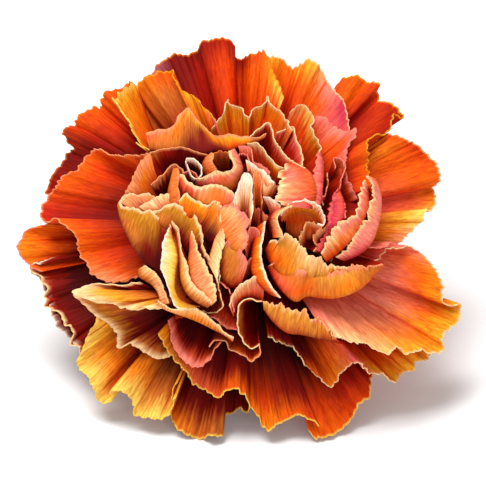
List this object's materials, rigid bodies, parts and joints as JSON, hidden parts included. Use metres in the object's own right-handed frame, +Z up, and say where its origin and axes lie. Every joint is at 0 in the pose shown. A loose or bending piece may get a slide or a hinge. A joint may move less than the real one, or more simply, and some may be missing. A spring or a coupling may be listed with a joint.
{
  "type": "carnation bloom",
  "caption": "Cut head of a dyed carnation: ruffled petals in rings on a short green calyx, lying on its calyx and the edges of its guard petals.",
  "frame": {"origin": "on the surface that the bloom lies on, at the centre of the bottom of its bounding box", "axes": "+X to the right across the face of the bloom, +Y from the low front petals to the calyx side and the raised back petals, +Z up"},
  "size_m": [0.0802, 0.0566, 0.0519],
  "materials": {
    "petals": "soft matt petals, dyed red at the root through orange to a pale yellow-pink edge",
    "calyx": "waxy grey-green, slightly glossy"
  },
  "bodies": {
    "root": {"bloom": "petals", "calyx": "calyx"}
  },
  "joints": []
}
